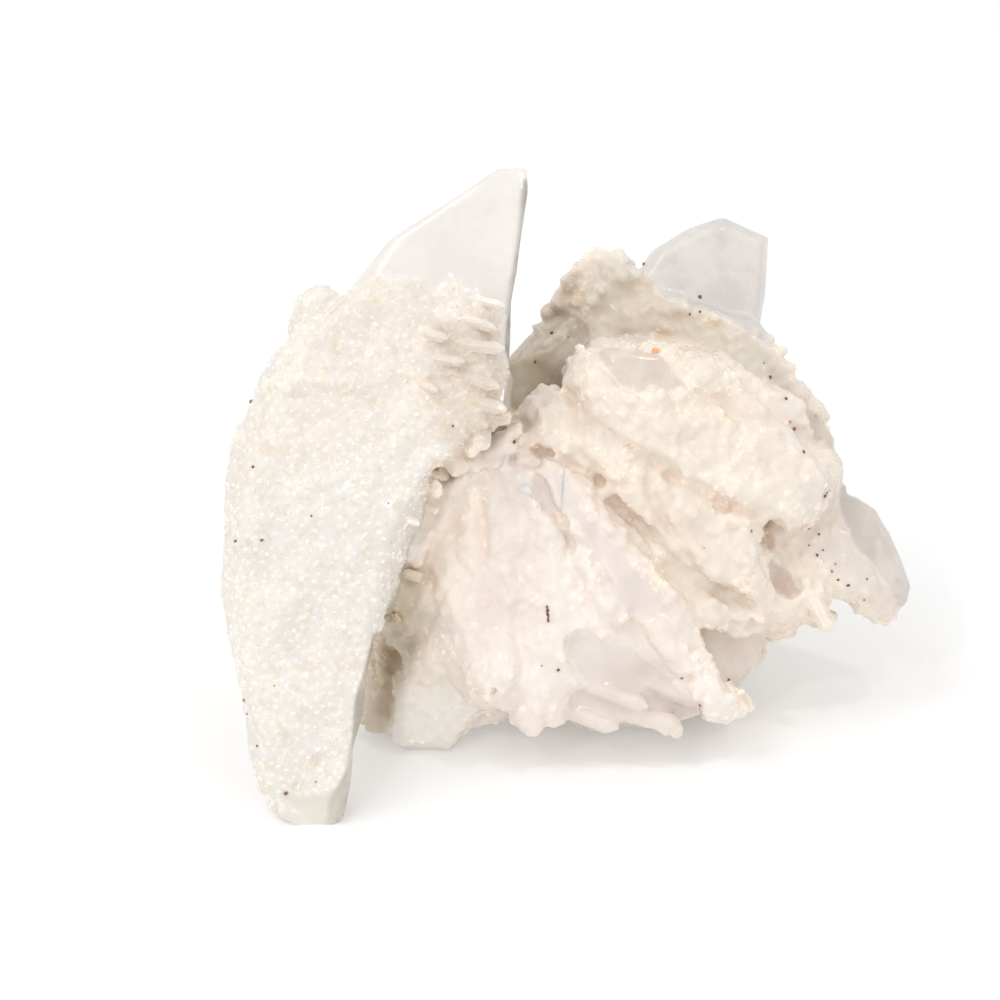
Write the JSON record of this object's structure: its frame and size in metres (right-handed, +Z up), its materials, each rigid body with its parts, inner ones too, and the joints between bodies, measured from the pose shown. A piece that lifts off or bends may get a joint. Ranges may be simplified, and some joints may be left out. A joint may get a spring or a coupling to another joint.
{
  "type": "milky quartz cluster",
  "caption": "Freestanding cluster of milky quartz: a tall double-ended blade, a fan of crusted plates and a clear-tipped crystal on one broken root.",
  "frame": {"origin": "middle of the cluster's box in plan, on the surface it stands on", "axes": "+Z up, +X to the right seen from the cluster's face, +Y from its face to its far side"},
  "size_m": [0.1168, 0.0982, 0.0987],
  "materials": {
    "milky_quartz": "glossy crystal faces with a fine sparkling crust"
  },
  "bodies": {
    "root": {"quartz_cluster": "milky_quartz"}
  },
  "joints": []
}
